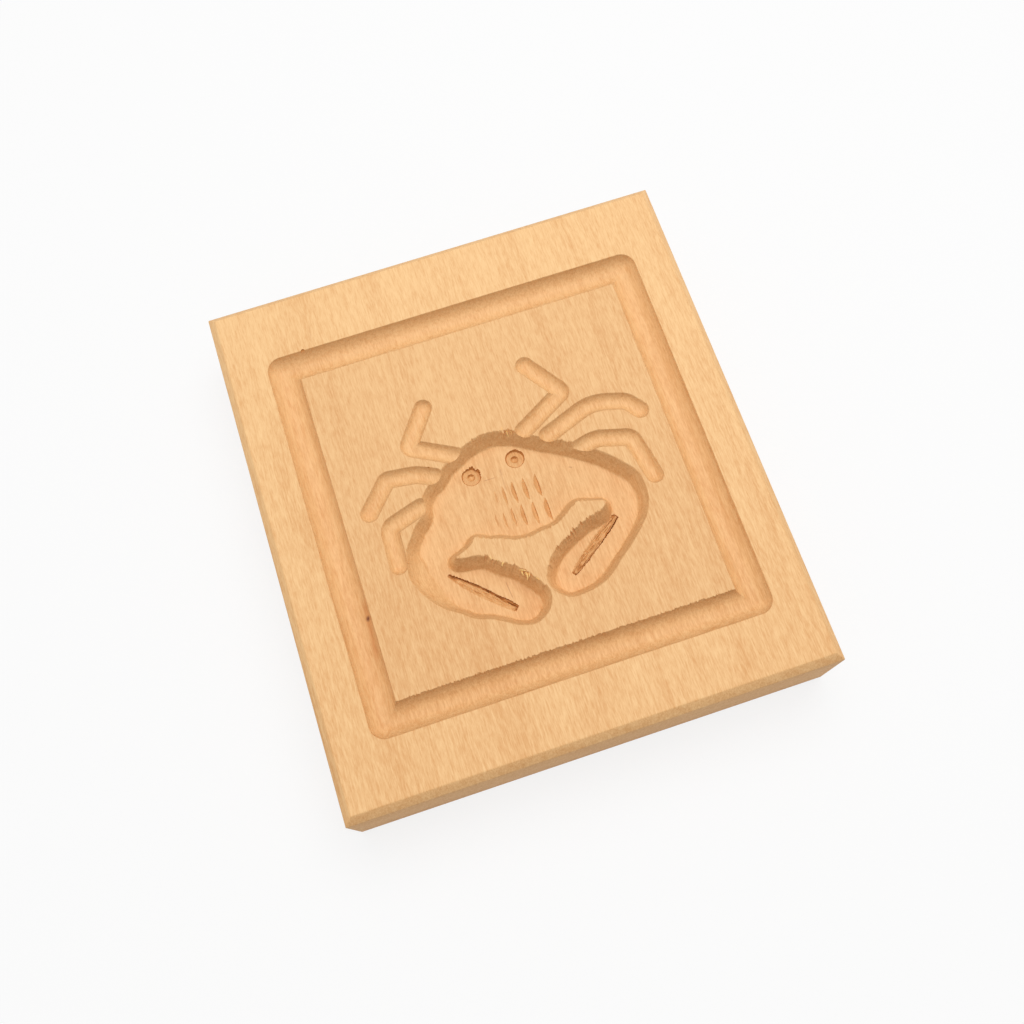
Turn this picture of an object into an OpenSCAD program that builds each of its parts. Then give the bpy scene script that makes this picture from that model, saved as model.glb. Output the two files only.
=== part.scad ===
// Springerle mould: a bevelled board of pale wood with a crab carved into its pressing face.
// The face is up, the grain runs along Y, and the origin is the middle of the underside.

/* [Board] */
// Width of the board, across the grain
board_w = 103; // [96:1:130]
// Length of the board, along the grain
board_l = 114; // [104:1:140]
// Thickness of the board
board_t = 22; // [12:1:35]
// Bevel round the pressing face
face_bevel = 1.6; // [0.4:0.2:3]

/* [Frame groove] */
// Width of the frame, between the groove's centre lines
frame_w = 77.7; // [74:0.1:86]
// Length of the frame, between the groove's centre lines
frame_l = 79.4; // [76:0.1:90]
// How far the frame sits to the right of the board's middle
frame_right = 0.2; // [-1:0.1:1]
// How far the frame sits below the board's middle
frame_down = 0.6; // [-1:0.1:2]
// Width of the groove at the face
groove_w = 6.5; // [4:0.25:7.5]
// Depth of the groove
groove_d = 2.8; // [1.5:0.1:3]

/* [Crab] */
// Distance between the tips of the widest pair of legs
crab_span = 60.9; // [52:0.1:64]
// Depth of the pocket that makes the body and claws
pocket_d = 4.2; // [2.5:0.1:6]
// Lean of the pocket's walls from upright
wall_lean = 24; // [12:1:32]
// Rounding where the walls meet the pocket's floor
foot_r = 0.5; // [0.2:0.1:0.8]
// Extra width of the hollowed wall outside the left arm
cove_w = 2.4; // [0.5:0.1:3]
// Width of a leg at the face
leg_w = 3.6; // [3.2:0.1:4.2]
// Depth of a leg
leg_d = 1.5; // [0.8:0.1:1.6]

/* [Eyes, claws and belly] */
// Width of an eye over its ring
eye_w = 4.4; // [3:0.1:5]
// Width of the ring groove
ring_w = 1.0; // [0.6:0.1:1.4]
// Depth of the ring groove
ring_d = 0.6; // [0.3:0.05:0.8]
// Width of the pit in the middle of an eye
pit_w = 1.9; // [1:0.1:2.2]
// Depth of the pit
pit_d = 0.45; // [0.2:0.05:0.8]
// Width of the cut along each claw
cut_w = 2.3; // [1.2:0.1:3]
// Depth of the cut along each claw
cut_d = 1.1; // [0.5:0.1:2]
// Size of the disc that leaves a stroke on the belly
stroke_r = 5; // [3:0.25:8]
// Depth of the deepest stroke
stroke_d = 0.6; // [0.3:0.05:0.9]

/* [Hidden] */
$fn = 48;
wood = [0.93, 0.76, 0.53];
proud = 1;

// Rim of the pocket at the face, anticlockwise, with 1 where its wall is hollowed
rim = [
  [9.4, 6.6, 0], [7, 8, 0], [4.6, 9.5, 0], [2, 10.5, 0], [-0.5, 11.1, 0], [-3.5, 10.9, 0],
  [-6, 10.2, 0], [-8.5, 9.1, 0], [-11.5, 7.4, 0], [-14, 5.3, 0], [-17, 3.3, 0], [-18.7, 0.9, 0],
  [-19.2, -1.6, 0], [-21.4, -3.7, 0], [-23, -5.8, 0], [-24.7, -8.2, 0.2], [-25.3, -10.8, 0.8],
  [-25.8, -13.5, 1], [-25, -16.4, 1], [-23.2, -19.7, 0.8], [-20.8, -22.4, 0.3], [-18, -24.4, 0],
  [-15.5, -26.3, 0], [-12.5, -27.4, 0], [-10, -28.8, 0], [-7.5, -30.3, 0], [-4.2, -31, 0],
  [-1.3, -29.7, 0], [0.2, -27.6, 0], [0.5, -25.2, 0], [-0.8, -22.8, 0], [-2.9, -20.2, 0],
  [-5, -18, 0], [-7.2, -16.6, 0], [-9.2, -14.8, 0], [-11.3, -13.8, 0], [-14, -13.5, 0],
  [-15.6, -12.9, 0], [-14, -12.3, 0], [-12, -11.4, 0], [-10.4, -10.1, 0], [-8.3, -11.1, 0],
  [-5.3, -12, 0], [-2.5, -13.1, 0], [0.5, -13.4, 0], [3.5, -12.9, 0], [6.5, -12.6, 0],
  [9, -11.1, 0], [11.8, -9.4, 0], [14.4, -10, 0], [17, -10.8, 0], [17.3, -11.6, 0],
  [15.5, -12.8, 0], [12.5, -13.5, 0], [9, -14.9, 0], [6, -16.5, 0], [3.5, -18.4, 0],
  [1.5, -20.9, 0], [0.7, -23.5, 0], [1.8, -26.3, 0], [4.2, -28.1, 0], [7.5, -28.2, 0],
  [11, -27.5, 0], [13.8, -26, 0], [16.5, -23.8, 0], [19.5, -21.5, 0], [22, -19.3, 0],
  [24.5, -16.6, 0], [26, -13.6, 0], [26.5, -10.5, 0], [25.8, -6.8, 0], [23.7, -4, 0],
  [21.5, -1.6, 0], [18.5, 0.9, 0], [15, 3.3, 0], [12.3, 5, 0]
];

// Centre lines of the legs from tip to body, with the radius of each bend
legs = [
  [[-12.4, 20.9, 0], [-18, 13.2, 0], [-9, 8.3, 0]],
  [[-29.7, 1.8, 0], [-24.3, 7.7, 0], [-18.5, 7, 6], [-14.6, 5.3, 0]],
  [[-27.1, -10.8, 0], [-26.7, -2.5, 1.8], [-19.2, -0.2, 0]],
  [[11.2, 23.4, 0], [16.9, 15.1, 0], [6.4, 9.1, 0]],
  [[31.2, 5.8, 0], [29.1, 8.6, 4], [22, 10.7, 10], [10.9, 6.5, 0]],
  [[29.1, -8.8, 0], [27.3, 0.5, 1.5], [20, 2.6, 6], [14.6, 1.2, 0]]
];

// Middles of the eyes
eyes = [[-7, 4.2], [3, 5.1]];

// Cuts along the claws: start, end, and the side that is steep
claw_cuts = [[[-18, -15], [-6.6, -26], 1], [[19, -13.9], [6.6, -22.7], -1]];

// Strokes on the belly, with the share of the full depth
strokes = [
  [-3.4, -1.7, 0.2], [-1.5, -2, 0.5], [0.7, -2, 0.8], [3.2, -2, 0.9], [5.9, -2, 1],
  [-4.9, -6.8, 0.2], [-3.1, -7.3, 0.35], [-1.2, -7.2, 0.5], [1, -7.4, 0.8], [3.5, -7.7, 0.9], [6.3, -7.7, 1]
];

// Shape of a claw cut along its length: share of the way, of the width and of the depth
cut_form = [[0, 0.45, 0.7], [0.12, 0.75, 0.9], [0.5, 1, 1], [0.88, 0.85, 1], [1, 0.65, 0.7]];
// Share of a cut's width that its steep side takes
steep_share = 0.2;
// How far each side of a belly stroke runs out for its depth, to the left and to the right
stroke_sides = [1.2, 0.5];
// Share of the pocket's depth where the hollowed wall begins to flatten
waist = 0.55;
// Share of the hollow's extra width at the floor, on the foot, above the foot and at the waist
hollow_form = [1, 0.9, 0.7, 0.15];
// Spline steps between two points of the rim
rim_steps = 2;
// Turn between two points of an arc of a leg
arc_step = 20;
// Heights at which a leg's rounded section is drawn
leg_steps = 5;
// How far the pocket's wall goes on leaning above the face
skim = 0.05;
// How far a stroke's edge goes on above the surface that it is cut into
stroke_over = 0.2;

face = board_t;
pocket_floor = face - pocket_d;
leg_tips = [for (leg = legs) leg[0].x];
drawn_span = max(leg_tips) - min(leg_tips);
crab_scale = crab_span / drawn_span;
wall_run = pocket_d * tan(wall_lean);
foot_reach = foot_r * tan((90 - wall_lean) / 2);

// Radius of the round cutter that leaves a groove of this width and depth
function cutter_r(width, depth) = (width * width / 4 + depth * depth) / (2 * depth);
function unit(v) = v / norm(v);
function flat(p) = [p.x, p.y];
function turned(v) = [-v.y, v.x];
function scaled(p) = [p.x * crab_scale, p.y * crab_scale, p.z];
function at_height(p, height) = [p.x, p.y, height];

// Smooth closed curve through the points
function curve(a, b, c, d, t) =
  0.5 * (2 * b + (c - a) * t + (2 * a - 5 * b + 4 * c - d) * t * t + (3 * (b - c) + d - a) * t * t * t);
function smooth_loop(points, steps) =
  let (n = len(points))
  [for (i = [0 : n - 1], k = [0 : steps - 1])
    curve(points[(i + n - 1) % n], points[i], points[(i + 1) % n], points[(i + 2) % n], k / steps)];

// Direction from the rim into the pocket
function inward(loop, i) =
  let (n = len(loop))
  unit(turned(flat(loop[(i + 1) % n]) - flat(loop[(i + n - 1) % n])));

// The rim moved into the pocket, further where its wall is hollowed, at one height
function wall_ring(loop, inset, share, height) =
  [for (i = [0 : len(loop) - 1])
    let (hollow = cove_w * share * min(max(loop[i].z, 0), 1))
    at_height(flat(loop[i]) + (inset + hollow) * inward(loop, i), height)];

// Solid between rings of points that run anticlockwise as seen from the last ring
module loft(rings) {
  n = len(rings[0]);
  last = len(rings) - 1;
  sides = [for (k = [0 : last - 1], i = [0 : n - 1], half = [0, 1])
    let (a = k * n + i, b = k * n + (i + 1) % n)
    half == 0 ? [a, a + n, b + n] : [a, b + n, b]];
  bottom = [for (i = [0 : n - 1]) i];
  top = [for (i = [n - 1 : -1 : 0]) last * n + i];
  polyhedron([for (ring = rings, p = ring) p], concat([bottom], sides, [top]));
}

// Hollow between rings from its floor up to the face, cut off flat at the floor and above the face
module sunk(rings, floor_height) {
  lowest = [for (p = rings[0]) at_height(p, floor_height - proud)];
  highest = [for (p = rings[len(rings) - 1]) at_height(p, face + proud)];
  intersection() {
    loft(concat([lowest], rings, [highest]));
    translate([-board_w / 2, -board_l / 2, floor_height])
      cube([board_w, board_l, face - floor_height + proud / 2]);
  }
}

// Straight run of a round cutter between two points
module cut_run(a, b, r, height) {
  way = b - a;
  translate([a.x, a.y, height])
    rotate([0, 90, atan2(way.y, way.x)])
      cylinder(r = r, h = norm(way));
}

module cut_stop(p, r, height) {
  translate([p.x, p.y, height]) sphere(r = r);
}

function rotated(v, a) = [v.x * cos(a) - v.y * sin(a), v.x * sin(a) + v.y * cos(a)];
function reversed(list) = [for (i = [len(list) - 1 : -1 : 0]) list[i]];

// Points round a centre, from one direction through a turn
function fan(middle, first, reach, turn) =
  let (steps = ceil(abs(turn) / arc_step))
  [for (k = [0 : steps]) middle + reach * rotated(first, turn * k / steps)];

// Points beside corner i of a path, on its left (side 1) or right (side -1), an arc or one sharp point
function corner_side(path, i, side, w) =
  let (p = flat(path[i]), back = unit(flat(path[i - 1]) - p), on = unit(flat(path[i + 1]) - p))
  let (way = sign(cross(on, back)), half = acos(back * on) / 2, inside = unit(back + on) / sin(half))
  let (bend = path[i].z, first = -side * turned(back), turn = way * (180 - 2 * half))
  side != way ? fan(p + bend * inside, first, bend + w, turn)
    : bend < leg_w ? [p + w * inside]
    : fan(p + bend * inside, first, w - bend, turn);

// Outline at one distance from a path, with round ends
function path_outline(path, w) =
  let (last = len(path) - 1, inner = [for (i = [1 : last - 1]) i])
  let (start = flat(path[0]), end = flat(path[last]))
  let (first = unit(flat(path[1]) - start), final = unit(end - flat(path[last - 1])))
  concat(fan(start, turned(first), w, 180),
    [for (i = inner) each corner_side(path, i, -1, w)],
    fan(end, -turned(final), w, 180),
    reversed([for (i = inner) each corner_side(path, i, 1, w)]));

// Groove of a round-nosed cutter, as deep at its ends as along it
module leg(path) {
  r = cutter_r(leg_w, leg_d);
  step = acos(1 - leg_d / r) / (leg_steps - 1);
  turns = [for (k = [1 : leg_steps]) step * (k - 1 / 2)];
  heights = [for (a = turns) face - leg_d + r * (1 - cos(a))];
  sunk([for (k = [0 : leg_steps - 1])
    [for (p = path_outline(path, r * sin(turns[k]))) at_height(p, heights[k])]], heights[0]);
}

module bevelled_end(width) {
  side = width / 2;
  polygon([[-side, 0], [side, 0], [side, face - face_bevel], [side - face_bevel, face],
    [face_bevel - side, face], [-side, face - face_bevel]]);
}

module blank() {
  intersection() {
    rotate([90, 0, 0]) linear_extrude(board_l, center = true) bevelled_end(board_w);
    rotate([90, 0, 90]) linear_extrude(board_w, center = true) bevelled_end(board_l);
  }
}

module frame_groove() {
  r = cutter_r(groove_w, groove_d);
  height = face - groove_d + r;
  corners = [for (k = [0 : 3])
    [frame_right + (k == 1 || k == 2 ? 1 : -1) * frame_w / 2, (k > 1 ? 1 : -1) * frame_l / 2 - frame_down]];
  for (k = [0 : 3]) {
    cut_run(corners[k], corners[(k + 1) % 4], r, height);
    cut_stop(corners[k], r, height);
  }
}

// Body, arms and claws: one pocket with leaning walls, a rounded foot and a flat floor
module pocket() {
  loop = smooth_loop([for (p = rim) scaled(p)], rim_steps);
  half_turn = (90 - wall_lean) / 2;
  sunk([
    wall_ring(loop, wall_run + foot_reach, hollow_form[0], pocket_floor),
    wall_ring(loop, wall_run + foot_reach - foot_r * sin(half_turn), hollow_form[1],
      pocket_floor + foot_r * (1 - cos(half_turn))),
    wall_ring(loop, wall_run - foot_reach * sin(wall_lean), hollow_form[2],
      pocket_floor + foot_reach * cos(wall_lean)),
    wall_ring(loop, wall_run * waist, hollow_form[3], face - pocket_d * waist),
    wall_ring(loop, -skim * tan(wall_lean), 0, face + skim)
  ], pocket_floor);
}

module eye(p) {
  ring_r = cutter_r(ring_w, ring_d);
  pit_r = cutter_r(pit_w, pit_d);
  translate([p.x * crab_scale, p.y * crab_scale, pocket_floor]) {
    translate([0, 0, ring_r - ring_d])
      rotate_extrude()
        translate([(eye_w - ring_w) / 2, 0])
          circle(r = ring_r);
    translate([0, 0, pit_r - pit_d]) sphere(r = pit_r);
  }
}

// Knife cut along a claw, steep on one side and gentle on the other, open to the top of the foot
module claw_cut(start, end, steep) {
  from = start * crab_scale;
  way = end * crab_scale - from;
  side = unit(turned(way));
  loft([for (f = cut_form)
    let (middle = from + f[0] * way, half_w = cut_w * f[1] / 2, depth = cut_d * f[2])
    let (deep = middle + side * steep * half_w * (1 - 2 * steep_share))
    let (left = middle + side * half_w, right = middle - side * half_w)
    let (climb = foot_r / depth, top = pocket_floor + foot_r)
    [at_height(left + (left - deep) * climb, top),
      at_height(right + (right - deep) * climb, top),
      at_height(deep, pocket_floor - depth)]]);
}

// Mark of a sharp-rimmed disc that stands upright along the grain
module stroke(x, y, share) {
  deep = stroke_d * share;
  high = deep + stroke_over;
  translate([x * crab_scale, y * crab_scale, pocket_floor + stroke_r - deep])
    rotate([0, 90, 0])
      rotate_extrude()
        polygon([[stroke_r, 0], [stroke_r - high, high * stroke_sides[1]],
          [stroke_r - high, -high * stroke_sides[0]]]);
}

module mould_board() {
  color(wood)
    difference() {
      blank();
      frame_groove();
      pocket();
      for (path = legs) leg([for (p = path) p * crab_scale]);
      for (p = eyes) eye(p);
      for (c = claw_cuts) claw_cut(c[0], c[1], c[2]);
      for (s = strokes) stroke(s[0], s[1], s[2]);
    }
}

mould_board();
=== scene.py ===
# %% [markdown]
# This lesson dresses a springerle mould: a board of pale wood, with a crab hollowed into
# its face, that is pressed into biscuit dough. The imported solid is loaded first. It sets
# the size that everything here has to keep.

import math

import bmesh
import bpy
from mathutils import Matrix, Vector, geometry, noise


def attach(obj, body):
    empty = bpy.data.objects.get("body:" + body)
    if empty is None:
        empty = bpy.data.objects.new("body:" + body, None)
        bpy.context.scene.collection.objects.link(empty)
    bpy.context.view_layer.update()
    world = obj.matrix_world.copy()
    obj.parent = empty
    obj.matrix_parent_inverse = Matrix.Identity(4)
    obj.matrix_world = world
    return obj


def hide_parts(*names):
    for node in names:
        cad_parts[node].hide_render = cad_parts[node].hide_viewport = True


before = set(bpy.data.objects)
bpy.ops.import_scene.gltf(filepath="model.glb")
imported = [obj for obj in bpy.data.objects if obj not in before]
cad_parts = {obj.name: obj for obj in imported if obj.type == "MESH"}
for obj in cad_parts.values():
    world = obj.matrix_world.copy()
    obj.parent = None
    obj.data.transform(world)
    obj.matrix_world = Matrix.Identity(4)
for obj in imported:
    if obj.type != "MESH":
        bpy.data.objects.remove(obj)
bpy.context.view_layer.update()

# %% [markdown]
# The camera comes before any shape, because each detail is judged from where the
# photograph was taken: above the board, a little in front of it, and turned so that the
# board stands askew in the frame. Its place and turn were worked out from the corners of
# the board and of the frame groove.

# %% Camera
MM = 0.001
BOARD = Vector((103, 114, 22)) * MM
PICTURE = 1024
FOCAL_PIXELS = 1121.2
SENSOR = 36
CAMERA_PLACE = Vector((-18.690, -76.483, 242.127)) * MM

right = Vector((0.94985405, -0.31173672, -0.0244437))
down = Vector((-0.30388844, -0.90186223, -0.30707709))
ahead = Vector((0.07368235, 0.29910657, -0.95137068))
camera_data = bpy.data.cameras.new("camera")
camera_data.sensor_width = SENSOR
camera_data.lens = SENSOR * FOCAL_PIXELS / PICTURE
camera_data.clip_start = 0.01
camera_data.clip_end = 10
camera = bpy.data.objects.new("camera", camera_data)
bpy.context.scene.collection.objects.link(camera)
turn = Matrix((right, -down, -ahead)).transposed().to_4x4()
camera.matrix_world = Matrix.Translation(CAMERA_PLACE) @ turn
bpy.context.scene.camera = camera
print("lens", round(camera_data.lens, 2), "mm")

# %% [markdown]
# The real board was sawn and planed, then its top edges were taken off at 45 degrees.
# A cube does for the blank: its four top edges are bevelled by 1.6 mm, and a hair more is
# taken off every edge after that, since no edge that hands have held stays sharp. The face
# to be carved is divided into panels, so that it isn't one huge outline after the cuts.

# %% Selecting
def nothing_selected():
    if bpy.context.object and bpy.context.object.mode != "OBJECT":
        bpy.ops.object.mode_set(mode="OBJECT")
    bpy.ops.object.select_all(action="DESELECT")


def at_work(piece):
    nothing_selected()
    piece.select_set(True)
    bpy.context.view_layer.objects.active = piece


def keep_place(piece):
    at_work(piece)
    bpy.ops.object.transform_apply(location=True, rotation=True, scale=True)


def triangles(piece):
    return sum(len(p.vertices) - 2 for p in piece.data.polygons)


# %% Blank
nothing_selected()
bpy.ops.mesh.primitive_cube_add(size=1, location=(0, 0, BOARD.z / 2), scale=BOARD)
board = bpy.context.object
board.name = "carved_board"
keep_place(board)
TOP_BEVEL, WORN_EDGE, SQUARES = 1.6, 0.16, 16
# Scraped and torn finishes are deeper in tone, which also paints shade in the cuts; loose fibres
# are painted paler, as if lit through
WOOD, SCRAPED_AND_SHADED, TORN_AND_SHADED, LIT_LOOSE = range(4)
finishes = [bpy.data.materials.new(name)
            for name in ("pale_wood", "scraped_and_shaded_wood", "torn_and_shaded_wood", "lit_loose_fibres")]
for finish in finishes:
    board.data.materials.append(finish)

at_work(board)
bpy.ops.object.mode_set(mode="EDIT")
bpy.ops.mesh.select_mode(type="FACE")
bpy.ops.mesh.select_all(action="DESELECT")
bpy.ops.object.mode_set(mode="OBJECT")
for face in board.data.polygons:
    face.select = face.normal.z > 0.9
bpy.ops.object.mode_set(mode="EDIT")
bpy.ops.mesh.bevel(offset=TOP_BEVEL * MM, segments=1, affect="EDGES")
bpy.ops.mesh.select_all(action="SELECT")
bpy.ops.mesh.bevel(offset=WORN_EDGE * MM, segments=2, affect="EDGES")
bpy.ops.mesh.select_all(action="DESELECT")
bpy.ops.object.mode_set(mode="OBJECT")
for face in board.data.polygons:
    face.select = face.normal.z > 0.9 and face.area > 1e-4
bpy.ops.object.mode_set(mode="EDIT")
bpy.ops.mesh.subdivide(number_cuts=SQUARES - 1)
bpy.ops.object.mode_set(mode="OBJECT")
print("blank has", len(board.data.polygons), "faces")

# %% [markdown]
# Every carved hollow is cut by a Boolean, so each needs a closed cutter. A cutter here is a
# stack of outlines: a filled circle is laid on the first outline, then it is extruded and
# its new points are moved to the next outline, until the last one closes it. A cutter's
# faces also carry the finish that its cut leaves, clean, scraped or torn, to the board. The
# scraped and torn ones are deeper in tone, which also paints the shade in the cuts.

# %% Stack of outlines
def stack(name, outlines):
    nothing_selected()
    count = len(outlines[0])
    bpy.ops.mesh.primitive_circle_add(vertices=count, radius=1, fill_type="NGON")
    cutter = bpy.context.object
    cutter.name = name
    mesh = cutter.data
    for vertex, place in zip(mesh.vertices, outlines[0]):
        vertex.co = Vector(place) * MM
    for outline in outlines[1:]:
        bpy.ops.object.mode_set(mode="EDIT")
        bpy.ops.mesh.extrude_region_move()
        bpy.ops.object.mode_set(mode="OBJECT")
        raised = [v for v in mesh.vertices if v.select]
        for vertex, place in zip(raised, outline):
            vertex.co = Vector(place) * MM
    bpy.ops.object.mode_set(mode="EDIT")
    bpy.ops.mesh.select_all(action="SELECT")
    bpy.ops.mesh.remove_doubles(threshold=1e-7)
    bpy.ops.mesh.normals_make_consistent(inside=False)
    bpy.ops.object.mode_set(mode="OBJECT")
    return cutter


def give_finish(piece, choose):
    for finish in finishes:
        piece.data.materials.append(finish)
    for face in piece.data.polygons:
        face.material_index = choose(face.center / MM) if callable(choose) else choose


def cut(piece, cutter, left=WOOD):
    give_finish(cutter, left)
    at_work(piece)
    hollow = piece.modifiers.new(cutter.name, "BOOLEAN")
    hollow.operation = "DIFFERENCE"
    hollow.solver = "MANIFOLD"
    hollow.object = cutter
    before = len(piece.data.polygons)
    bpy.ops.object.modifier_apply(modifier=hollow.name)
    print(cutter.name, "with", len(cutter.data.polygons), "faces:", before, "to",
          len(piece.data.polygons))
    bpy.data.objects.remove(cutter)


# %% [markdown]
# Next come the lines that the carver followed. A line is a few points chosen on the
# crab, with a smooth curve through them, in millimetres from the middle of the face. The
# third number of a rim point says how far the wall there is hollowed out.

# %% Lines on the face
def dot(a, b):
    return a[0] * b[0] + a[1] * b[1]


def unit(v):
    size = math.hypot(v[0], v[1])
    return (v[0] / size, v[1] / size)


def through(points, steps):
    """A smooth closed curve through points (Catmull-Rom), with the third number smoothed too."""
    count, line = len(points), []
    for i in range(count):
        a, b, c, d = (points[(i + k) % count] for k in (-1, 0, 1, 2))
        for k in range(steps):
            t = k / steps
            line.append([0.5 * (2 * q + (r - p) * t + (2 * p - 5 * q + 4 * r - s) * t * t
                                + (3 * (q - r) + s - p) * t ** 3)
                         for p, q, r, s in zip(a, b, c, d)])
    return line


def left_of(line):
    """The direction to the left of a closed line at each of its points."""
    count, normals = len(line), []
    for i in range(count):
        a, b = line[i - 1], line[(i + 1) % count]
        way = unit((b[0] - a[0], b[1] - a[1]))
        normals.append((-way[1], way[0]))
    return normals


rim_points = [
    [9.4, 6.6, 0], [7, 8, 0], [4.6, 9.5, 0], [2, 10.5, 0], [-0.5, 11.1, 0], [-3.5, 10.9, 0],
    [-6, 10.2, 0], [-8.5, 9.1, 0], [-11.5, 7.4, 0], [-14, 5.3, 0], [-17, 3.3, 0],
    [-18.7, 0.9, 0], [-19.2, -1.6, 0], [-21.4, -3.7, 0], [-23, -5.8, 0], [-24.7, -8.2, 0.2],
    [-25.3, -10.8, 0.8], [-25.8, -13.5, 1], [-25, -16.4, 1], [-23.2, -19.7, 0.8],
    [-20.8, -22.4, 0.3], [-18, -24.4, 0], [-15.5, -26.3, 0], [-12.5, -27.4, 0],
    [-10, -28.8, 0], [-7.5, -30.3, 0], [-4.2, -31, 0], [-1.3, -29.7, 0], [0.2, -27.6, 0],
    [0.5, -25.2, 0], [-0.8, -22.8, 0], [-2.9, -20.2, 0], [-5, -18, 0], [-7.2, -16.6, 0],
    [-9.2, -14.8, 0], [-11.3, -13.8, 0], [-14, -13.5, 0], [-15.6, -12.9, 0],
    [-14, -12.3, 0], [-12, -11.4, 0], [-10.4, -10.1, 0], [-8.3, -11.1, 0], [-5.3, -12, 0],
    [-2.5, -13.1, 0], [0.5, -13.4, 0], [3.5, -12.9, 0], [6.5, -12.6, 0], [9, -11.1, 0],
    [11.8, -9.4, 0], [14.4, -10, 0], [17, -10.8, 0], [17.3, -11.6, 0], [15.5, -12.8, 0],
    [12.5, -13.5, 0], [9, -14.9, 0], [6, -16.5, 0], [3.5, -18.4, 0], [1.5, -20.9, 0],
    [0.7, -23.5, 0], [1.8, -26.3, 0], [4.2, -28.1, 0], [7.5, -28.2, 0], [11, -27.5, 0],
    [13.8, -26, 0], [16.5, -23.8, 0], [19.5, -21.5, 0], [22, -19.3, 0], [24.5, -16.6, 0],
    [26, -13.6, 0], [26.5, -10.5, 0], [25.8, -6.8, 0], [23.7, -4, 0], [21.5, -1.6, 0],
    [18.5, 0.9, 0], [15, 3.3, 0], [12.3, 5, 0],
]
rim = through(rim_points, 30)
inward = left_of(rim)
print("rim of", len(rim), "points,",
      round(sum(math.dist(rim[i - 1][:2], rim[i][:2]) for i in range(len(rim)))), "mm round")

# %% [markdown]
# Body, arms and claws are one hollow, 4.2 mm deep, with walls that lean by 24 degrees and
# turn into the floor through a small radius. Towards tight bends the walls would run into
# each other, so the line at the foot is eased there, as a blade eases it. Where the blade
# went against the grain it tore the rim into teeth, and these are cut here too.

# %% Foot of the wall
FACE = 22.0
POCKET_DEEP = 4.2
WALL_LEAN = math.radians(24)
FOOT = 0.5
COVE = 2.4
wall_run = POCKET_DEEP * math.tan(WALL_LEAN)
foot_reach = FOOT * math.tan((math.pi / 2 - WALL_LEAN) / 2)
share = [min(max(p[2], 0), 1) for p in rim]
full = [wall_run + foot_reach + COVE * h for h in share]
foot_line = [[p[0] + n[0] * f, p[1] + n[1] * f] for p, n, f in zip(rim, inward, full)]

count = len(rim)
for ease in range(160):
    folded = set()
    for i in range(count):
        a, b = rim[i - 1], rim[(i + 1) % count]
        c, d = foot_line[i - 1], foot_line[(i + 1) % count]
        if dot((b[0] - a[0], b[1] - a[1]), (d[0] - c[0], d[1] - c[1])) < 0.02:
            folded.update((i + k) % count for k in range(-7, 8))
    if not folded:
        break
    eased = {i: [(foot_line[i - 1][k] + foot_line[(i + 1) % count][k]) / 2 for k in (0, 1)]
             for i in folded}
    for i, place in eased.items():
        foot_line[i] = place
lean_way = [((f[0] - p[0]) / r, (f[1] - p[1]) / r) for f, p, r in zip(foot_line, rim, full)]
print("foot line eased", ease, "times,", len(folded), "points still tight")

# %% Torn stretches of the rim
TOOTH_WIDE, TORN_DEEP = 0.45, 2.6
# Each stretch: its middle, how far it spreads, and how tall its teeth are
torn_spots = [(-8.6, -15.2, 2.6, 0.34), (-5.4, -17.9, 2.2, 0.3), (-3.2, -20, 2.4, 0.62),
              (-1, -22.6, 2.4, 0.45), (6, -16.5, 3.2, 0.3), (9.5, -14.8, 3, 0.34),
              (13.5, -13.2, 3, 0.28), (2, -20.2, 2.6, 0.3), (3, 10.2, 2.2, 0.6),
              (-3, 11, 4, 0.24), (-2.5, -13.1, 4, 0.24), (6, -12.6, 4, 0.24),
              (12, -9.6, 3, 0.2), (-9, -10.9, 3, 0.2), (-25.3, -11.6, 1.1, 0.6),
              (14.4, 3.6, 2.2, 0.35)]


def tearing(x, y):
    return sum(1.3 * size * min(1, max(0, 2.2 * (1 - math.dist((x, y), (cx, cy)) / wide)))
               for cx, cy, wide, size in torn_spots)


def tooth(x, seed):
    """How far a row of blunt teeth stands out at x, from 0 to 1."""
    pace = x / TOOTH_WIDE + 0.6 * noise.noise(Vector((x * 0.8, seed, 4.2)))
    whole = math.floor(pace)
    tall = 0.1 + 0.9 * noise.cell(Vector((whole * 1.37, seed, 0.5)))
    return tall * min(1, 2.5 * (1 - abs(2 * (pace - whole) - 1)))


def pocket_outline(deep, inset, hollow):
    outline = []
    for i, (p, way, out) in enumerate(zip(rim, lean_way, inward)):
        reach = inset + COVE * hollow * share[i]
        side = way if reach > 0 else out
        uneven = 0.1 * noise.noise(Vector((p[0] * 0.45, p[1] * 0.45, deep * 0.8)))
        uneven += 0.035 * noise.noise(Vector((p[0] * 2.1, p[1] * 2.1, deep * 0.5)))
        reach += uneven * min(1, max(0, deep) / 0.5)
        ragged = tearing(p[0], p[1]) * max(0, 1 - max(0, deep) / TORN_DEEP)
        along = ragged * tooth(p[0], 3.0) * (1 if out[1] < 0 else -1)
        outline.append((p[0] + side[0] * reach, p[1] + side[1] * reach + along, FACE - deep))
    return outline


# %% Pocket
EDGE = 0.1
wall_levels = [0.1, 0.3, 0.6, 1, 1.5, 2, 2.5, 3, 3.4, 3.7]
levels = [(-1, -EDGE, 0), (0, -EDGE, 0)]
for deep in wall_levels:
    down_share = deep / POCKET_DEEP
    levels.append((deep, wall_run * down_share, max(0, (down_share - 0.45) / 0.55) ** 1.6))
for slope in (66, 50, 35, 20, 8, 0):
    a = math.radians(slope)
    levels.append((POCKET_DEEP - FOOT + FOOT * math.cos(a),
                   wall_run + foot_reach - FOOT * math.sin(a), 1 - 0.12 * slope / 66))
cut(board, stack("pocket_cutter", [pocket_outline(*level) for level in levels]))

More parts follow.
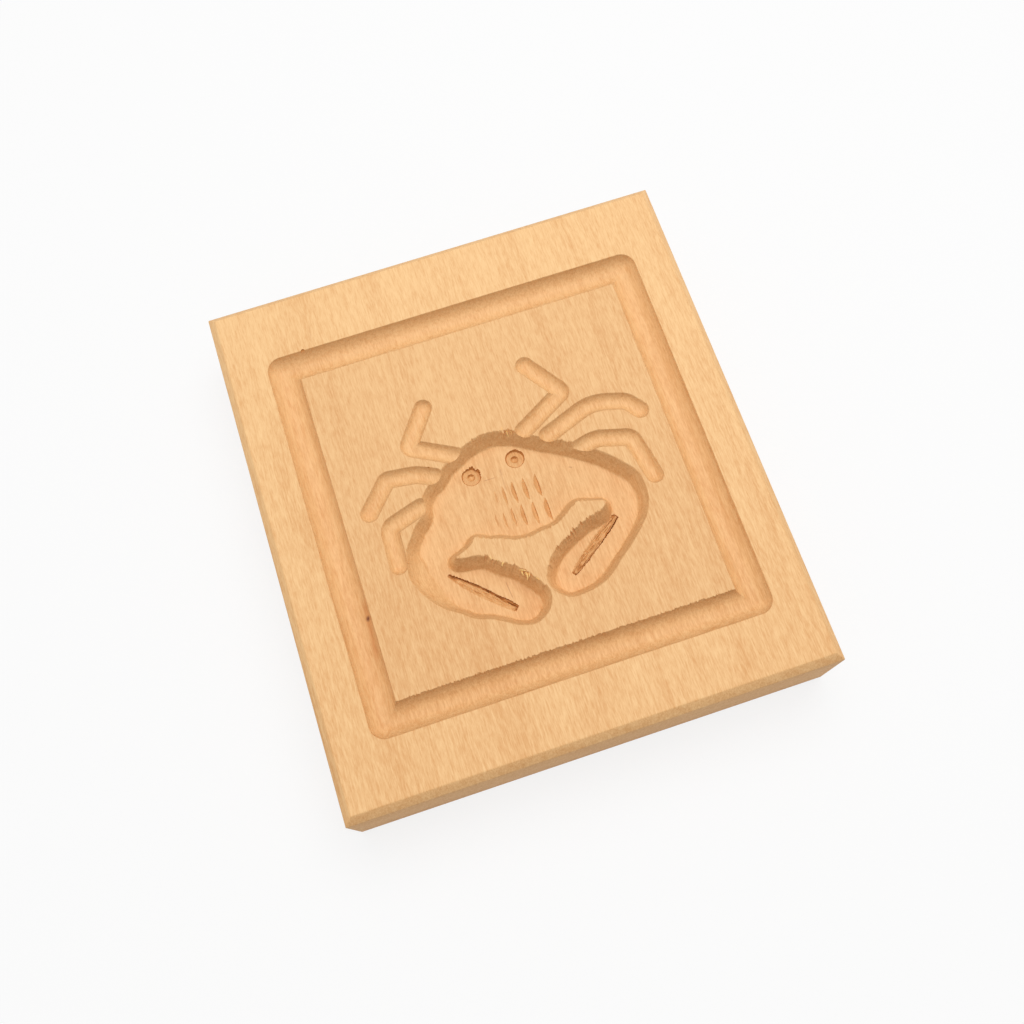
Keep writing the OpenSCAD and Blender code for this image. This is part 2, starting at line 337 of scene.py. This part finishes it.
# %% [markdown]
# The frame groove and the legs were cut with a round-nosed cutter, so each is a half-round
# hollow. Its outline at one depth keeps one distance from the cutter's path: it swings
# round the outside of a bend, and meets in one point inside a tight one.

# %% Round-nosed cuts
def rotated(v, angle):
    c, s = math.cos(angle), math.sin(angle)
    return (v[0] * c - v[1] * s, v[0] * s + v[1] * c)


def fan(middle, first, reach, angle, step=math.radians(7)):
    pieces = max(1, math.ceil(abs(angle) / step))
    return [tuple(m + reach * u for m, u in zip(middle, rotated(first, angle * k / pieces)))
            for k in range(pieces + 1)]


def beside(path, i, side, wide):
    p, bend = path[i][:2], path[i][2]
    back = unit((path[i - 1][0] - p[0], path[i - 1][1] - p[1]))
    onward = unit((path[i + 1][0] - p[0], path[i + 1][1] - p[1]))
    way = 1 if onward[0] * back[1] - onward[1] * back[0] > 0 else -1
    half = math.acos(dot(back, onward)) / 2
    inside = tuple(v / math.sin(half) for v in unit((back[0] + onward[0], back[1] + onward[1])))
    middle = (p[0] + bend * inside[0], p[1] + bend * inside[1])
    first = (side * back[1], -side * back[0])
    angle = way * (math.pi - 2 * half)
    if side != way:
        return fan(middle, first, bend + wide, angle)
    if wide < bend:
        return fan(middle, first, wide - bend, angle)
    meeting = (p[0] + wide * inside[0], p[1] + wide * inside[1])
    return [meeting] * len(fan(middle, first, wide, angle))


def round_path(path, wide):
    start, end, inner = path[0][:2], path[-1][:2], range(1, len(path) - 1)
    first = unit((path[1][0] - start[0], path[1][1] - start[1]))
    final = unit((end[0] - path[-2][0], end[1] - path[-2][1]))
    to_right = [p for i in inner for p in beside(path, i, -1, wide)]
    to_left = [p for i in inner for p in beside(path, i, 1, wide)]
    return (fan(start, (-first[1], first[0]), wide, math.pi) + to_right
            + fan(end, (final[1], -final[0]), wide, math.pi) + to_left[::-1])


def nose_levels(wide, deep, steps):
    r = (wide * wide / 4 + deep * deep) / (2 * deep)
    reach = math.acos(1 - deep / r)
    shares = [(2 * k - 1) / (2 * steps - 1) for k in range(1, steps + 1)]
    sizes = [(r * math.sin(reach * s), deep - r * (1 - math.cos(reach * s))) for s in shares]
    sizes[-1:] = [(wide / 2 - 0.02, 0.07), (wide / 2 + EDGE * 0.7, 0),
                  (wide / 2 + EDGE * 0.7, -1)]
    return sizes


# %% Legs
LEG_WIDE, LEG_DEEP = 3.9, 1.5
leg_paths = [
    [[-12.4, 20.9, 0], [-18, 13.2, 0.8], [-9, 8.3, 0]],
    [[-29.7, 1.8, 0], [-24.3, 7.7, 0.8], [-18.5, 7, 6], [-14.6, 5.3, 0]],
    [[-27.1, -10.8, 0], [-26.7, -2.5, 1.8], [-19.2, -0.2, 0]],
    [[11.2, 23.4, 0], [16.9, 15.1, 0.8], [6.4, 9.1, 0]],
    [[31.2, 5.8, 0], [29.1, 8.6, 4], [22, 10.7, 10], [10.9, 6.5, 0]],
    [[29.1, -8.8, 0], [27.3, 0.5, 1.5], [20, 2.6, 6], [14.6, 1.2, 0]],
]
for number, path in enumerate(leg_paths, 1):
    rings = []
    for wide, deep in nose_levels(LEG_WIDE, LEG_DEEP, 9):
        ring = []
        for x, y in round_path(path, wide):
            sway = 0.06 * noise.noise(Vector((x * 0.5, y * 0.5, number)))
            ring.append((x + sway, y + sway, FACE - deep))
        rings.append(ring)
    cut(board, stack("leg_cutter_%d" % number, rings))

# %% Frame groove
GROOVE_WIDE, GROOVE_DEEP = 6.5, 2.8
EDGE_STEPS, TURN_STEPS = 360, 12
JAG, JAG_DEEP = 0.24, 1.2
half_wide, half_long, frame_right, frame_down = 77.7 / 2, 79.4 / 2, 0.2, 0.6
corners = [(frame_right + sx * half_wide, sy * half_long - frame_down, sx, sy)
           for sx, sy in ((-1, -1), (1, -1), (1, 1), (-1, 1))]


def frame_ring(wide, outside, z):
    """One closed line at a distance outside or inside the groove's middle line."""
    ring = []
    for k, (x, y, sx, sy) in enumerate(corners):
        for step in range(TURN_STEPS + 1):
            swing = math.radians(180 + 90 * k + 90 * step / TURN_STEPS)
            place = ((x + wide * math.cos(swing), y + wide * math.sin(swing)) if outside
                     else (x - sx * wide, y - sy * wide))
            ring.append((*place, z))
        if k in (0, 2):
            across, start = 2 * half_wide - 2 * wide * (not outside), ring[-1]
            way, out = -sx, -sy
            for step in range(1, EDGE_STEPS):
                at = start[0] + way * across * step / EDGE_STEPS
                near_top = max(0, 1 - (FACE - z) / JAG_DEEP)
                jag = JAG * tooth(1.5 * at, k + 0.5) * near_top * (0 if outside else 1 - 0.3 * k)
                sway = 0.05 * noise.noise(Vector((at * 0.3, k, 2.0 * outside)))
                ring.append((at, start[1] + out * jag + sway, z))
    return ring


groove_levels = nose_levels(GROOVE_WIDE, GROOVE_DEEP, 12)
rings = [frame_ring(w, False, FACE - d) for w, d in reversed(groove_levels)]
rings += [frame_ring(w, True, FACE - d) for w, d in groove_levels]
print("groove cutter has", len(rings), "outlines")
cut(board, stack("groove_cutter", rings))

# %% [markdown]
# Each eye is the slanting mark of a round punch, deeper at its upper right, with a small
# pit in it. Each claw has one shallow cut, with a narrow crack along its steep side, where
# the wood is torn. The belly has short strokes from a thin round blade. All of them go down
# from the pocket's floor. Last come a few nicks, from small balls sunk into the surface.

# %% Eyes
FLOOR = FACE - POCKET_DEEP
SLANT = math.radians(55)


def punched(name, middle, outline, tilt, teeth, left):
    """A round mark from (radius, depth) pairs, tilted towards SLANT and ragged on that side."""
    rings = []
    for r, deep in outline:
        ring = []
        for k in range(96):
            a = 2 * math.pi * k / 96
            toward = math.cos(a - SLANT)
            rag = teeth * max(0, toward) * tooth(a * 2.4, 8.5) if deep < 0.3 else 0
            rag += 0.05 * noise.noise(Vector((3 * math.cos(a), 3 * math.sin(a), r)))
            far = r + rag * min(1, r)
            ring.append((middle[0] + far * math.cos(a), middle[1] + far * math.sin(a),
                         FLOOR - deep - (tilt * far * toward if deep > -0.5 else 0)))
        rings.append(ring)
    cut(board, stack(name, rings), left)


eyes = [(-7.1, 4.2, 0.5), (2.95, 5.15, 0.14)]
dish = [(2.5, -1), (2.12, -0.2), (2.02, 0.3), (1.84, 0.48), (1.3, 0.4), (0.6, 0.34),
        (0.02, 0.33)]
pit = [(1, -1), (0.94, 0.1), (0.8, 0.5), (0.5, 0.78), (0.02, 0.84)]
# The torn finish on each dish's wall and on each pit's upper, far wall is painted shade
for number, (x, y, teeth) in enumerate(eyes, 1):
    punched("eye_cutter_%d" % number, (x, y), dish, 0.14, teeth,
            lambda middle: TORN_AND_SHADED if math.dist(middle[:2], (x, y)) > 1.72 else SCRAPED_AND_SHADED)
    punched("eye_pit_cutter_%d" % number, (x - 0.1, y - 0.05), pit, 0.26, 0,
            lambda middle: TORN_AND_SHADED if middle.y > y + 0.35 else SCRAPED_AND_SHADED)

# %% Claw cuts
CUT_STEP = 0.12
# Each cut: start, end, share that is torn and painted with shade, where the crack starts and
# ends across it, depth, and widths along it
claw_cuts = [((-18.2, -14.9), (-6.6, -26), 0.16, (-0.38, -0.12), 0.7,
              ((0, 0.5), (0.08, 1.2), (0.25, 2.1), (0.5, 2.6), (0.88, 2.2), (1, 1.6))),
             ((19.2, -13.7), (6.6, -22.9), 0.26, (-0.3, -0.38), 0.9,
              ((0, 1.1), (0.12, 2), (0.4, 2.6), (0.7, 2.3), (0.9, 1.7), (1, 1.1)))]


def between(stops, at):
    """The value at a place between stops, each a (place, value) pair."""
    for (a, va), (b, vb) in zip(stops, stops[1:]):
        if at <= b:
            return va + (vb - va) * (at - a) / (b - a)
    return stops[-1][1]


def claw_section(wide, crack, place, seed):
    """Points across the cut: distance from its middle line, steep side first, and depth."""
    points = [(-0.56, -0.5)]
    for k in range(21):
        u = -0.5 + k / 20
        bowl = min(1, (u + 0.5) / 0.09) * (0.32 + 0.4 * (0.5 - u)) * min(1, (0.5 - u) / 0.3)
        dashes = 0.65 + 0.7 * noise.noise(Vector((place * 1.3, 0.2, seed)))
        slit = 0.8 * max(0, 1 - abs(u - crack) / 0.06) * dashes
        ridge = 0.3 * noise.noise(Vector((k * 3.1, place * 0.4, seed))) * min(1, bowl / 0.2)
        chip = 0.3 * noise.noise(Vector((place * 3.0, 0.2 * k, seed + 5)))
        points.append((u * wide + chip * (1 if abs(u) > 0.44 else 0.3), bowl + slit + ridge))
    return points + [(0.56, -0.5)]


for number, (start, end, torn_and_shaded_share, cracks, deep, widths) in enumerate(claw_cuts, 1):
    way = unit((end[0] - start[0], end[1] - start[1]))
    side, length = (-way[1], way[0]), math.dist(start, end)
    rings, steps = [], round(length / CUT_STEP)
    for k in range(steps + 1):
        at = k / steps
        crack = cracks[0] + (cracks[1] - cracks[0]) * at
        end_deep = deep * (0.7 + 0.3 * min(1, at / 0.06, (1 - at) / 0.06))
        ring = []
        for across, low in claw_section(between(widths, at), crack, at * length, number):
            ring.append((start[0] + way[0] * at * length - side[0] * across,
                         start[1] + way[1] * at * length - side[1] * across,
                         FLOOR - low * end_deep))
        rings.append(ring)

    # The torn finish on the steep side is torn wood, and its deeper tone also paints the shade
    # that falls on that side
    def claw_finish(middle):
        off = (middle.x - start[0], middle.y - start[1])
        at = dot(off, way) / length
        across = -dot(off, side) / between(widths, min(max(at, 0), 1))
        crack = cracks[0] + (cracks[1] - cracks[0]) * at
        streaky = noise.noise(Vector((across * 9, dot(off, way) * 0.5, number)))
        return TORN_AND_SHADED if across < crack + torn_and_shaded_share * (0.5 + streaky) or at > 0.97 else SCRAPED_AND_SHADED

    cut(board, stack("claw_cutter_%d" % number, rings), claw_finish)

# %% Belly strokes
STROKE_HALF, STROKE_RISE = 3.2, 0.6
# How far across each outline of a stroke is, and how much smaller it is than the middle one
stroke_outlines = ((-1.5, 1), (-0.9, 0.42), (-0.4, 0.12), (0, 0), (0.14, 0.3), (0.4, 1))
# Each stroke: its middle and its strength
strokes = [(-3.4, -1.7, 0.2), (-1.5, -2, 0.5), (0.7, -2, 0.8), (3.2, -2, 0.9), (5.9, -2, 1),
           (-4.9, -6.8, 0.2), (-3.1, -7.3, 0.35), (-1.2, -7.2, 0.5), (1, -7.4, 0.8),
           (3.5, -7.7, 0.9), (6.3, -7.7, 1)]
for number, (x, y, strength) in enumerate(strokes, 1):
    deep, rings = 0.5 * strength, []
    tall, reach = STROKE_RISE + deep, deep + 0.25
    for across, lift in stroke_outlines:
        size, ring = 1 - reach * lift / tall, []
        for k in range(64):
            a = 2 * math.pi * k / 64
            sway = 0.12 * noise.noise(Vector((k * 0.7, number, 1.5 + lift)))
            ring.append((x + across * reach + sway,
                         y + STROKE_HALF * size * math.sin(a),
                         FLOOR + STROKE_RISE - tall * size * math.cos(a)))
        rings.append(ring)
    # The scraped finish darkens the strokes: painted shade, standing in for the shade of deeper
    # dents
    cut(board, stack("stroke_cutter_%d" % number, rings), SCRAPED_AND_SHADED)

# %% Nicks
nicks = [(18.5, -13.7, 0.5, 4.2), (-15.2, 7.5, 0.32, 0), (23.4, 3.3, 0.36, 0),
         (14.9, 3.1, 0.3, 0), (-33.3, 42.3, 0.4, 0), (-25.2, -12.1, 0.3, 0)]
for number, (x, y, r, deep) in enumerate(nicks, 1):
    nothing_selected()
    bpy.ops.mesh.primitive_ico_sphere_add(subdivisions=2, radius=r * MM,
                                          location=Vector((x, y, FACE - deep)) * MM)
    nick_cutter = bpy.context.object
    nick_cutter.name = "nick_cutter_%d" % number
    keep_place(nick_cutter)
    for v in nick_cutter.data.vertices:
        v.co.y += 0.25 * r * noise.noise(v.co / MM * 3) * MM
    cut(board, nick_cutter, TORN_AND_SHADED)

# %% [markdown]
# After so many cuts, the flat faces have long ragged outlines. Blender would split such an
# outline into triangles by a quick rule that sometimes folds one over its neighbour. So the
# flat faces are split here by a Delaunay triangulation, which doesn't. A dozen outlines, the
# pocket floor's among them, cross themselves by a hair. They are left to Blender's own rule.

# %% Flat faces in triangles
FLAT, SAME_AREA, SAME_PLACE = 0.9999, 0.01, 1e-9
solid = bmesh.new()
solid.from_mesh(board.data)
flat_faces = [f for f in solid.faces if len(f.verts) > 4 and abs(f.normal.z) > FLAT]
left_alone = []
for face in flat_faces:
    up = face.normal.z > 0
    ring = list(face.verts) if up else list(face.verts)[::-1]
    outline = [Vector((v.co.x, v.co.y)) / MM for v in ring]
    found = geometry.delaunay_2d_cdt(outline, [], [list(range(len(ring)))], 1, SAME_PLACE)
    places, thirds, origins = found[0], found[2], found[3]
    area = sum(geometry.area_tri(*(places[i] for i in third)) for third in thirds)
    # Where an outline crosses itself there would be one point more, which would open the mesh
    if len(places) != len(ring) or abs(area - face.calc_area() / MM ** 2) > SAME_AREA:
        left_alone.append(face)
        continue
    finish = face.material_index
    solid.faces.remove(face)
    for third in thirds:
        corner_points = [ring[origins[i][0]] for i in (third if up else third[::-1])]
        solid.faces.new(corner_points).material_index = finish
spare = len(left_alone)
bmesh.ops.triangulate(solid, faces=left_alone, quad_method="BEAUTY", ngon_method="BEAUTY")
solid.normal_update()
solid.to_mesh(board.data)
solid.free()


def on_top():
    places = board.data.vertices
    return [f for f in board.data.polygons if f.normal.z > 0.9
            and all(abs(places[v].co.z - FACE * MM) < 5e-7 for v in f.vertices)]


print(len(flat_faces), "flat faces,", spare, "of them split by Blender's own rule; the top has",
      round(sum(f.area for f in on_top()) * 1e6, 1), "mm2")

# %% [markdown]
# Fibres that the blade lifted and left still stand along the torn rims. Each is a short
# curl: a curve of three points, given a thickness and turned into mesh. They are joined to
# the board, because they are the board's own wood.

# %% Lifted fibres
def curl(start, middle, end, thick):
    nothing_selected()
    bpy.ops.curve.primitive_nurbs_path_add()
    fibre = bpy.context.object
    line = fibre.data
    line.dimensions = "3D"
    ends = [Vector(p) for p in (start, middle, end)]
    for k, point in enumerate(line.splines[0].points):
        t = k / (len(line.splines[0].points) - 1)
        place = (1 - t) ** 2 * ends[0] + 2 * t * (1 - t) * ends[1] + t * t * ends[2]
        point.co = (*(place * MM), 1)
        point.radius = 1 - 0.6 * t
    line.bevel_depth = thick / 2 * MM
    line.bevel_resolution = 1
    line.use_fill_caps = True
    bpy.ops.object.convert(target="MESH")
    bpy.ops.object.mode_set(mode="EDIT")
    bpy.ops.mesh.select_all(action="SELECT")
    bpy.ops.mesh.remove_doubles(threshold=1e-7)
    bpy.ops.mesh.normals_make_consistent(inside=False)
    bpy.ops.object.mode_set(mode="OBJECT")
    give_finish(bpy.context.object, LIT_LOOSE)
    return bpy.context.object


fibres = [((-3.9, -19.4, 21.4), (-3.5, -19.8, 22.5), (-2.9, -20.1, 22.0), 0.44),
          ((-3.6, -19.7, 21.3), (-3.9, -20.2, 22.4), (-3.6, -20.8, 21.6), 0.5),
          ((-3.0, -20.3, 21.3), (-2.6, -21.0, 22.3), (-3.1, -21.8, 21.4), 0.6),
          ((-2.5, -20.7, 21.4), (-2.2, -20.9, 22.3), (-2.6, -21.5, 21.8), 0.42),
          ((-1.4, -22.0, 21.6), (-1.1, -22.3, 22.3), (-0.9, -22.8, 21.9), 0.3),
          ((-6.6, -16.8, 21.6), (-6.9, -17.0, 22.3), (-7.1, -17.5, 21.7), 0.55),
          ((-8.9, -14.8, 21.7), (-8.8, -15.1, 22.2), (-8.8, -15.6, 21.8), 0.44),
          ((-8.4, -15.1, 21.7), (-8.3, -15.4, 22.2), (-8.3, -15.8, 21.8), 0.34),
          ((-7.9, -15.6, 21.7), (-7.8, -15.8, 22.2), (-7.7, -16.3, 21.8), 0.3),
          ((1.9, 10.4, 21.7), (2.0, 10.9, 22.3), (2.2, 11.3, 22.1), 0.26),
          ((2.9, 10.2, 21.6), (2.7, 9.7, 22.2), (2.9, 9.0, 21.7), 0.3),
          ((3.6, 10.0, 21.7), (3.9, 9.8, 22.2), (3.7, 9.2, 21.8), 0.22)]
grown = [curl(*fibre) for fibre in fibres]
at_work(board)
for fibre in grown:
    fibre.select_set(True)
bpy.ops.object.join()
print(len(grown), "fibres joined")

# %% [markdown]
# The walls are shaded smooth and the planed face flat. Then the board is tied to the frame.

# %% Smooth what is smooth
at_work(board)
bpy.ops.object.shade_smooth_by_angle(angle=math.radians(32))
for face in on_top() + [f for f in board.data.polygons if len(f.vertices) > 24]:
    face.use_smooth = False
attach(board, "root")
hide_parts("mould_board")
print("carved board:", triangles(board), "triangles")

# %% [markdown]
# Now the wood. Its pattern is worked out from the place of each point inside the board, so
# that the yearly rings which show as bands on the face also show as lines on the ends. A
# small class lets such sums be written as plain arithmetic.

# %% Sums of nodes
class Value:
    def __init__(self, sheet, socket):
        self.sheet, self.socket = sheet, socket
        self.wide = socket.type in ("VECTOR", "RGBA")

    def sum(self, operation, a, b=0.0):
        wide = any(isinstance(v, tuple) or (isinstance(v, Value) and v.wide) for v in (a, b))
        kind = "ShaderNodeVectorMath" if wide else "ShaderNodeMath"
        return self.sheet.node(kind, {"operation": operation}, {0: a, 1: b})

    def other(self, name):
        return Value(self.sheet, self.socket.node.outputs[name])

    def __add__(self, other):
        return self.sum("ADD", self, other)

    def __radd__(self, other):
        return self.sum("ADD", other, self)

    def __sub__(self, other):
        return self.sum("SUBTRACT", self, other)

    def __rsub__(self, other):
        return self.sum("SUBTRACT", other, self)

    def __mul__(self, other):
        return self.sum("MULTIPLY", self, other)

    def __rmul__(self, other):
        return self.sum("MULTIPLY", other, self)

    def __truediv__(self, other):
        return self.sum("DIVIDE", self, other)

    def __pow__(self, other):
        return self.sum("POWER", self, other)

    def absolute(self):
        return self.sum("ABSOLUTE", self)

    def part(self):
        return self.sum("FRACT", self)

    def larger(self, other):
        return self.sum("MAXIMUM", self, other)


class Sheet:
    def __init__(self, owner):
        owner.use_nodes = True
        self.tree = owner.node_tree
        self.tree.nodes.clear()

    def node(self, kind, settings, sockets, out=0):
        made = self.tree.nodes.new(kind)
        for name, setting in settings.items():
            setattr(made, name, setting)
        for name, value in sockets.items():
            socket = made.inputs[name]
            if isinstance(value, Value):
                self.tree.links.new(value.socket, socket)
                continue
            if socket.type in ("VECTOR", "RGBA") and not isinstance(value, tuple):
                value = (value,) * 3
            socket.default_value = (*value, 1) if socket.type == "RGBA" else value
        return Value(self, made.outputs[out]) if made.outputs else None

    def cloud(self, place, detail=2.0, rough=0.5):
        """Soft noise about 0, between roughly -0.5 and 0.5."""
        sockets = {"Vector": place, "Scale": 1.0, "Detail": detail, "Roughness": rough}
        return self.node("ShaderNodeTexNoise", {}, sockets) - 0.5

    def rise(self, value, low, high):
        """0 below low, 1 above high, and smooth between them."""
        sockets = {"Value": value, "From Min": low, "From Max": high}
        return self.node("ShaderNodeMapRange", {"interpolation_type": "SMOOTHSTEP"}, sockets)

    def spot(self, place, centre, sizes):
        """1 at a centre, fading to 0 at these distances along X and Y."""
        far = (place - (*centre, 0.0)) / (*sizes, 1e6)
        return 1 - self.rise(self.node("ShaderNodeVectorMath", {"operation": "LENGTH"},
                                       {0: far}, "Value"), 0.0, 1.0)

    def tears(self, place):
        """Streaks along the claw cuts, which slant one way on the left, the other on the right."""
        made = []
        for way in ((0.72, -0.69), (0.81, 0.59)):
            turned = [self.node("ShaderNodeVectorMath", {"operation": "DOT_PRODUCT"},
                                {0: place, 1: (*axis, 0.0)}, "Value")
                      for axis in (way, (-way[1], way[0]))]
            flat = self.node("ShaderNodeCombineXYZ", {},
                             {"X": turned[0] * 0.45, "Y": turned[1] * 3.2})
            made.append(self.cloud(flat, 2.0, 0.7))
        right_half = self.rise(self.node("ShaderNodeSeparateXYZ", {}, {0: place}, "X"), -2.0, 2.0)
        return made[0] + right_half * (made[1] - made[0])

    def scratch(self, place, start, end, wide):
        """1 on a straight line between two points of the face."""
        way = unit((end[0] - start[0], end[1] - start[1]))
        half = math.dist(start, end) / 2
        middle = ((start[0] + end[0]) / 2, (start[1] + end[1]) / 2, 0.0)
        off = place - middle
        dot_product = {"operation": "DOT_PRODUCT"}
        along = self.node("ShaderNodeVectorMath", dot_product, {0: off, 1: (*way, 0.0)}, "Value")
        across = self.node("ShaderNodeVectorMath", dot_product,
                           {0: off, 1: (-way[1], way[0], 0.0)}, "Value")
        inside = 1 - self.rise(along.absolute(), half * 0.6, half)
        return inside * (1 - self.rise(across.absolute(), 0.0, wide))


# %% [markdown]
# One recipe fills all four finishes. The pith lies below the board, left of its middle, so
# the rings run as broad bands along it. Scraped and torn wood is the same wood, deeper in
# tone, and that deeper tone also paints the shade in the small cuts, eyes and nicks. Lifted
# fibres are painted paler, as light that shines through them.

# %% Wood
PALE, DEEP = (0.94, 0.6, 0.285), (0.7, 0.335, 0.112)
PITH_X, PITH_Z, RING_WIDE = -25.0, -140.0, 2.7
# Each mark: its two ends, its half width and its strength
MARKS = [((-5.1, 2.5), (-2.1, 2.5), 0.13, 0.36), ((-0.75, 5.0), (-1.1, -1.6), 0.3, 0.16),
         ((-0.75, 4.0), (-0.75, 2.4), 0.5, 0.12), ((-7.3, -19.5), (-6.9, -24), 0.2, 0.4),
         ((13.2, -0.2), (14, -0.6), 0.2, 0.35), ((-31, 43), (-30.4, 48), 0.14, 0.16)]


def fill_wood(material, deeper, tint):
    sheet = Sheet(material)
    place = sheet.node("ShaderNodeTexCoord", {}, {}, "Object") * 1000.0
    x = sheet.node("ShaderNodeSeparateXYZ", {}, {0: place}, "X")
    y, z = x.other("Y"), x.other("Z")
    facing = sheet.node("ShaderNodeNewGeometry", {}, {}, "Normal")
    lean = sheet.node("ShaderNodeSeparateXYZ", {}, {0: facing}, "Y")
    end_grain = sheet.rise(lean.absolute(), 0.2, 1.0)
    wall = 1 - sheet.rise(lean.other("Z").absolute(), 0.45, 0.9)

    wander = sheet.cloud(place * (0.02, 0.007, 0.02), 3.0) * 9.0
    from_pith = ((x - PITH_X) ** 2.0 + (z - PITH_Z) ** 2.0) ** 0.5 + wander
    ring = (from_pith / RING_WIDE).part()
    late_wood = sheet.rise(ring, 0.45, 0.98) * (1 - sheet.rise(ring, 0.98, 1.0))
    broad = sheet.cloud(place * (0.12, 0.018, 0.12), 2.0)
    streaks = sheet.cloud(place * (1.3, 0.1, 1.3), 3.0, 0.6)
    fibre_lines = sheet.cloud(place * (3.4, 0.45, 3.4), 3.0, 0.7)
    mottle = sheet.cloud(place * (0.5, 0.3, 0.5), 2.0)
    pores = sheet.rise(sheet.cloud(place * (5.0, 0.7, 5.0), 1.0), 0.12, 0.3)
    stripes = sheet.cloud(place * (3.4, 3.4, 0.35), 2.0, 0.6) * wall

    # The last term, in y, paints shade: the wood grows darker towards the front edge, where less
    # light falls
    deepness = (0.24 + late_wood * 0.14 + broad * 0.4 + streaks * 1.2 + fibre_lines * 2.4
                + mottle * 0.3 + pores * 0.25 + stripes * 1.1 + end_grain * 0.1 + deeper
                + sheet.tears(place) * (deeper * 5) - y * 0.0025)
    colour = PALE + sheet.rise(deepness, -0.5, 1.5) * tuple(d - p for d, p in zip(DEEP, PALE))
    colour = colour * tint * (1 - end_grain * 0.14)

    # The upward faces inside the frame are made a little darker
    inside_frame = ((1 - sheet.rise(x.absolute(), 40.5, 42.5))
            * (1 - sheet.rise((y + 0.6).absolute(), 41.0, 43.4)) * lean.other("Z").larger(0.0))
    colour = colour * (1 - inside_frame * (0.055, 0.085, 0.11))

    # The pin knot in the left groove with its streak, and marks on the face and floor
    knot = sheet.spot(place, (-36.2, -19.0), (0.7, 0.8))
    streak = sheet.scratch(place, (-36.0, -14.0), (-36.8, -29.0), 0.9)
    colour = colour * (1 - knot * (0.74, 0.82, 0.7)) * (1 - streak * (0.1, 0.24, 0.32))
    for start, end, wide, strength in MARKS:
        colour = colour * (1 - sheet.scratch(place, start, end, wide) * strength * (0.7, 1.0, 1.1))

    rough = 0.56 + fibre_lines * 0.12 + end_grain * 0.12
    height = streaks * 0.5 + fibre_lines + stripes * 0.6 - pores * 0.6
    relief = sheet.node("ShaderNodeBump", {}, {"Strength": 0.35 + 2 * abs(deeper),
                                               "Distance": 0.00004, "Height": height})
    surface = sheet.node("ShaderNodeBsdfPrincipled", {},
                         {"Base Color": colour, "Roughness": rough,
                          "Specular IOR Level": 0.35, "Normal": relief})
    sheet.node("ShaderNodeOutputMaterial", {}, {"Surface": surface})
    print(material.name, "has", len(sheet.tree.nodes), "nodes")


# The scraped and torn tints are partly the wood's own deeper tone and partly painted shade; the
# loose fibres' paler tint is painted light shining through them
fill_wood(finishes[WOOD], 0.0, (1.0, 1.0, 1.0))
fill_wood(finishes[SCRAPED_AND_SHADED], 0.06, (0.92, 0.84, 0.74))
fill_wood(finishes[TORN_AND_SHADED], 0.16, (0.72, 0.52, 0.32))
fill_wood(finishes[LIT_LOOSE], -0.15, (1.1, 1.18, 1.0))

# %% [markdown]
# The board lies on a pale floor. Most of the light comes from a wide soft source nearly
# overhead, a little behind the board and to its right, so flat faces are bright and steep
# walls go brown. The floor is nearly white to the camera, and it still takes the board's
# shadow.

# %% Floor
def seen_directly(sheet):
    """1 where the camera sees a thing itself, in a mirror or through glass, else 0."""
    seen = sheet.node("ShaderNodeLightPath", {}, {}, "Is Camera Ray")
    return seen.larger(seen.other("Is Glossy Ray")).larger(seen.other("Is Transmission Ray"))


nothing_selected()
bpy.ops.mesh.primitive_plane_add(size=4)
floor = bpy.context.object
floor.name = "floor"
paper = bpy.data.materials.new("paper")
sheet = Sheet(paper)
seen = seen_directly(sheet)
grainy = sheet.cloud(sheet.node("ShaderNodeTexCoord", {}, {}, "Object") * 900.0)
dull = sheet.node("ShaderNodeBsdfPrincipled", {},
                  {"Base Color": (0.86, 0.86, 0.86) + grainy * 0.02, "Roughness": 0.9})
white = sheet.node("ShaderNodeEmission", {}, {"Color": (1.0, 1.0, 1.0), "Strength": 1.0})
surface = sheet.node("ShaderNodeMixShader", {}, {0: seen * 0.8, 1: dull, 2: white})
sheet.node("ShaderNodeOutputMaterial", {}, {"Surface": surface})
floor.data.materials.append(paper)
print("floor of", round(floor.dimensions.x, 1), "m")

# %% Light
world = bpy.data.worlds.new("daylight")
bpy.context.scene.world = world
sheet = Sheet(world)
seen = seen_directly(sheet)
soft, full = (sheet.node("ShaderNodeBackground", {}, {"Color": (1.0, 1.0, 1.0), "Strength": s})
              for s in (0.5, 1.0))
sky = sheet.node("ShaderNodeMixShader", {}, {0: seen, 1: soft, 2: full})
sheet.node("ShaderNodeOutputWorld", {}, {"Surface": sky})


def lamp(name, power, size, place):
    """A square soft lamp at a place, turned to the board."""
    light = bpy.data.lights.new(name, "AREA")
    light.energy, light.size = power, size
    held = bpy.data.objects.new(name, light)
    bpy.context.scene.collection.objects.link(held)
    held.location = place
    held.rotation_euler = (-Vector(place)).to_track_quat("-Z", "Y").to_euler()


lamp("window", 2.4, 0.5, (0.09, 0.12, 0.6))
bpy.context.scene.view_settings.view_transform = "Standard"
print("one lamp of", bpy.data.lights["window"].energy, "W under a soft sky")
